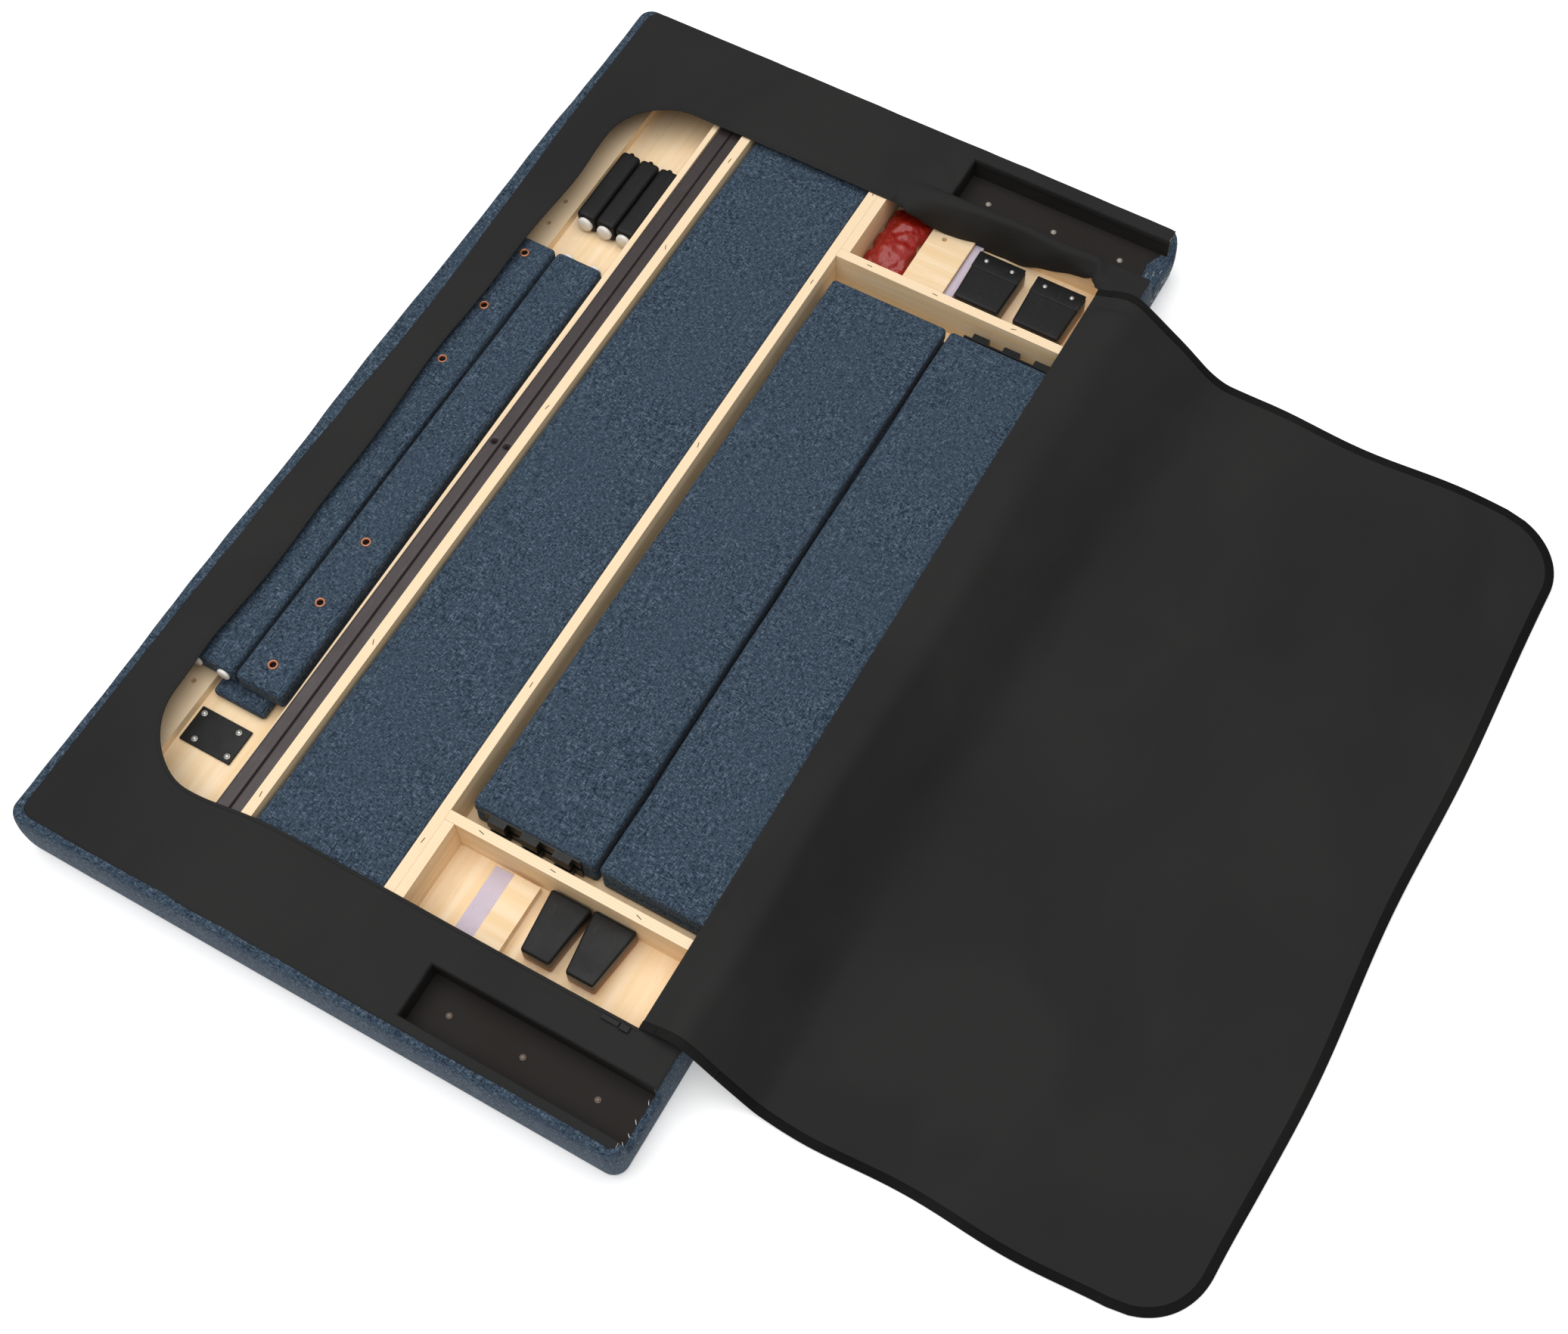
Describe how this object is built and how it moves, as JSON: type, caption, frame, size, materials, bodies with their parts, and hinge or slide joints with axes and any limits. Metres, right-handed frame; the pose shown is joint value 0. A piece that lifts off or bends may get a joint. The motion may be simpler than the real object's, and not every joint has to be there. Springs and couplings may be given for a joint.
{
  "type": "upholstered headboard with zipped storage back",
  "caption": "Fabric-covered bed headboard lying face down, its zipped back opened over the floor and the parts of the bed stored in plywood compartments inside.",
  "frame": {"origin": "middle of the padded front face, which lies on the floor", "axes": "+X across the bed, +Y towards the headboard's top edge, +Z out of its back"},
  "size_m": [1.616, 1.629, 0.1126],
  "materials": {
    "blue_linen": "heathered linen weave",
    "black_fabric": "non-woven dust cover",
    "plywood": "raw pale plywood",
    "packing_foam": "thin pale foam",
    "dark_steel": "satin powder coat",
    "black_plastic": "matte",
    "stained_wood": "black stain, brown on the sides",
    "white_plastic": "satin",
    "red_bag": "red cloth under clear film",
    "zip_metal": "black nickel"
  },
  "bodies": {
    "headboard": {"back_border": "black_fabric", "batten_left": "plywood", "batten_right": "plywood", "cross_board_left": "plywood", "cross_board_right": "plywood", "doubler_left": "plywood", "doubler_right": "plywood", "edge_wrap": "blue_linen", "foam_strip_left": "packing_foam", "foam_strip_right": "packing_foam", "frame_bottom": "plywood", "frame_left": "plywood", "frame_right": "plywood", "frame_top": "plywood", "front_cushion": "blue_linen", "front_panel": "plywood", "lower_panel": "blue_linen", "lower_partition": "plywood", "recess_block_left": "plywood", "recess_block_right": "plywood", "recess_lining_left": "black_fabric", "recess_lining_right": "black_fabric", "recess_wall_left": "plywood", "recess_wall_right": "plywood", "sill_board_left": "plywood", "sill_board_right": "plywood", "thin_divider": "plywood", "top_ledge": "plywood", "upper_partition": "plywood"},
    "cover_hem": {"cover_hem": "black_fabric"},
    "cover_slope": {"cover_slope": "black_fabric"},
    "cover_field": {"cover_field": "black_fabric"},
    "zip_slider": {"zip_slider": "zip_metal"},
    "zip_pull": {"zip_pull": "zip_metal"},
    "footboard": {"footboard": "blue_linen"},
    "rail_bars": {"rail_bar_1": "dark_steel", "rail_bar_2": "dark_steel"},
    "side_rail_1_lower": {"side_rail_1_lower": "blue_linen", "hook_plate_1_lower": "dark_steel"},
    "side_rail_1_upper": {"side_rail_1_upper": "blue_linen", "hook_plate_1_upper": "dark_steel"},
    "side_rail_2_lower": {"side_rail_2_lower": "blue_linen", "hook_plate_2_lower": "dark_steel"},
    "side_rail_2_upper": {"side_rail_2_upper": "blue_linen", "hook_plate_2_upper": "dark_steel"},
    "headboard_leg_1": {"headboard_leg_1": "blue_linen", "leg_glide_1a": "white_plastic", "leg_glide_1b": "white_plastic"},
    "headboard_leg_2": {"headboard_leg_2": "blue_linen", "leg_glide_2a": "white_plastic", "leg_glide_2b": "white_plastic"},
    "centre_leg_1": {"centre_leg_1": "black_plastic"},
    "centre_leg_2": {"centre_leg_2": "black_plastic"},
    "centre_leg_3": {"centre_leg_3": "black_plastic"},
    "bracket_plate": {"bracket_plate": "dark_steel"},
    "foot_1": {"foot_1": "stained_wood"},
    "foot_2": {"foot_2": "stained_wood"},
    "foot_3": {"foot_3": "stained_wood"},
    "foot_4": {"foot_4": "stained_wood"},
    "hardware_bag": {"hardware_bag": "red_bag"}
  },
  "joints": [
    {"name": "cover_hinge", "type": "hinge", "parent": "headboard", "child": "cover_hem", "pos_m": [0, -0.408, 0.0995], "axis": [1, 0, 0], "range_deg": [-155.96, 0]},
    {"name": "cover_crest_fold", "type": "hinge", "parent": "cover_hem", "child": "cover_slope", "pos_m": [0, -0.458, 0.112], "axis": [1, 0, 0], "range_deg": [-55.22, 0]},
    {"name": "cover_floor_fold", "type": "hinge", "parent": "cover_slope", "child": "cover_field", "pos_m": [0, -0.57, 0.0015], "axis": [1, 0, 0], "range_deg": [0, 42.03]},
    {"name": "zip_run", "type": "slide", "parent": "headboard", "child": "zip_slider", "axis": [0, 1, 0], "range_m": [0, 0.32]},
    {"name": "zip_pull_tilt", "type": "hinge", "parent": "zip_slider", "child": "zip_pull", "pos_m": [-0.6585, -0.3835, 0.1001], "axis": [1, 0, 0], "range_deg": [0, 90]},
    {"name": "footboard_lift", "type": "slide", "parent": "headboard", "child": "footboard", "axis": [0, 0, 1], "range_m": [0, 0.06], "deforming": ["back_border"]},
    {"name": "rail_bars_lift", "type": "slide", "parent": "headboard", "child": "rail_bars", "axis": [0, 0, 1], "range_m": [0, 0.06], "deforming": ["back_border"]},
    {"name": "side_rail_1_lower_lift", "type": "slide", "parent": "headboard", "child": "side_rail_1_lower", "axis": [0, 0, 1], "range_m": [0, 0.07]},
    {"name": "side_rail_1_upper_lift", "type": "slide", "parent": "side_rail_1_lower", "child": "side_rail_1_upper", "axis": [0, 0, 1], "range_m": [0, 0.07]},
    {"name": "side_rail_2_lower_tip", "type": "hinge", "parent": "headboard", "child": "side_rail_2_lower", "pos_m": [0, -0.4375, 0.0583], "axis": [1, 0, 0], "range_deg": [0, 6]},
    {"name": "side_rail_2_upper_tip", "type": "hinge", "parent": "side_rail_2_lower", "child": "side_rail_2_upper", "pos_m": [0, -0.4375, 0.0866], "axis": [1, 0, 0], "range_deg": [0, 10]},
    {"name": "headboard_leg_1_lift", "type": "slide", "parent": "headboard", "child": "headboard_leg_1", "axis": [0, 0, 1], "range_m": [0, 0.06], "deforming": ["back_border"]},
    {"name": "headboard_leg_2_lift", "type": "slide", "parent": "headboard", "child": "headboard_leg_2", "axis": [0, 0, 1], "range_m": [0, 0.08]},
    {"name": "centre_leg_1_lift", "type": "slide", "parent": "headboard", "child": "centre_leg_1", "axis": [0, 0, 1], "range_m": [0, 0.08]},
    {"name": "centre_leg_2_lift", "type": "slide", "parent": "headboard", "child": "centre_leg_2", "axis": [0, 0, 1], "range_m": [0, 0.08]},
    {"name": "centre_leg_3_lift", "type": "slide", "parent": "headboard", "child": "centre_leg_3", "axis": [0, 0, 1], "range_m": [0, 0.08]},
    {"name": "bracket_plate_lift", "type": "slide", "parent": "headboard", "child": "bracket_plate", "axis": [0, 0, 1], "range_m": [0, 0.08]},
    {"name": "foot_1_lift", "type": "slide", "parent": "headboard", "child": "foot_1", "axis": [0, 0, 1], "range_m": [0, 0.08]},
    {"name": "foot_2_lift", "type": "slide", "parent": "headboard", "child": "foot_2", "axis": [0, 0, 1], "range_m": [0, 0.08]},
    {"name": "foot_3_lift", "type": "slide", "parent": "headboard", "child": "foot_3", "axis": [0, 0, 1], "range_m": [0, 0.08]},
    {"name": "foot_4_lift", "type": "slide", "parent": "headboard", "child": "foot_4", "axis": [0, 0, 1], "range_m": [0, 0.08]},
    {"name": "hardware_bag_lift", "type": "slide", "parent": "headboard", "child": "hardware_bag", "axis": [0, 0, 1], "range_m": [0, 0.08]}
  ],
  "couplings": [
    {"joint": "cover_crest_fold", "follows": "cover_hinge", "ratio": 0.35339},
    {"joint": "cover_floor_fold", "follows": "cover_hinge", "ratio": -0.26882}
  ]
}
